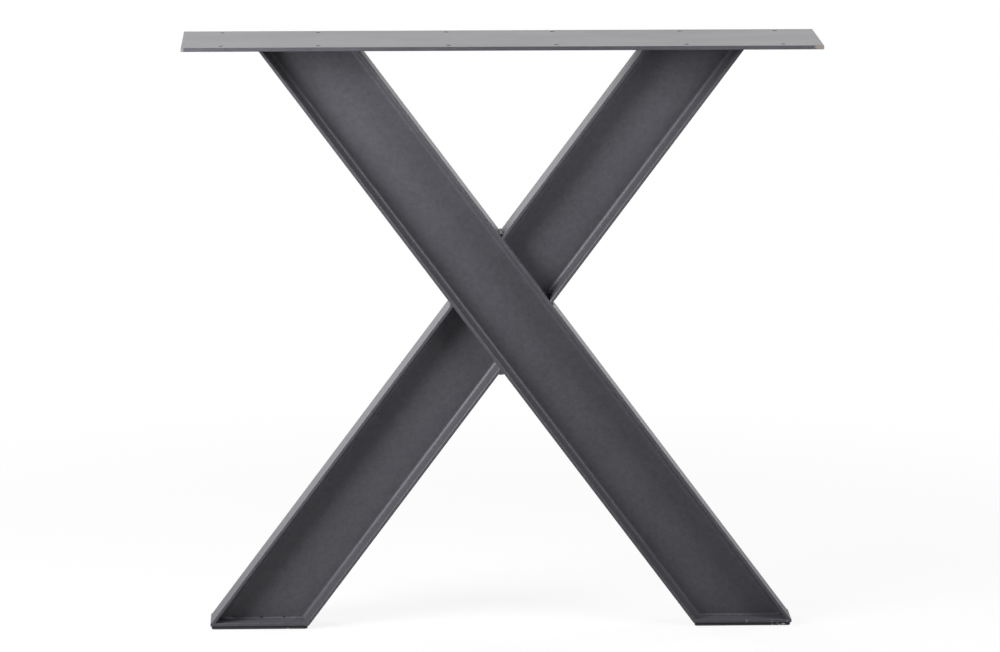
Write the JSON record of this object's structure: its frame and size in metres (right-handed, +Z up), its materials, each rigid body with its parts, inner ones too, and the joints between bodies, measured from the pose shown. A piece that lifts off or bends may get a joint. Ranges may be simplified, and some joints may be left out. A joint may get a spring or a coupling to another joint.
{
  "type": "x-shaped table leg",
  "caption": "X-shaped welded steel table leg of crossing I-beams, with a drilled plate that screws up under a table top and feet on rubber pads.",
  "frame": {"origin": "on the floor, under the middle of the crossing", "axes": "+X along the top plate to the right, +Y to the rear, +Z up"},
  "size_m": [0.785, 0.16, 0.74],
  "materials": {
    "coated_steel": "satin anthracite powder coat with a fine texture",
    "pad_rubber": "matt black"
  },
  "bodies": {
    "root": {"top_plate": "coated_steel", "through_beam": "coated_steel", "upper_half_beam": "coated_steel", "lower_half_beam": "coated_steel", "left_foot_plate": "coated_steel", "right_foot_plate": "coated_steel", "crossing_weld_top": "coated_steel", "crossing_weld_bottom": "coated_steel", "crossing_weld_left": "coated_steel", "crossing_weld_right": "coated_steel", "left_foot_weld_front": "coated_steel", "left_foot_weld_rear": "coated_steel", "right_foot_weld_front": "coated_steel", "right_foot_weld_rear": "coated_steel", "left_top_weld_outer": "coated_steel", "left_top_weld_inner": "coated_steel", "left_top_weld_front": "coated_steel", "left_top_weld_rear": "coated_steel", "right_top_weld_outer": "coated_steel", "right_top_weld_inner": "coated_steel", "right_top_weld_front": "coated_steel", "right_top_weld_rear": "coated_steel", "left_foot_pad": "pad_rubber", "right_foot_pad": "pad_rubber"}
  },
  "joints": []
}
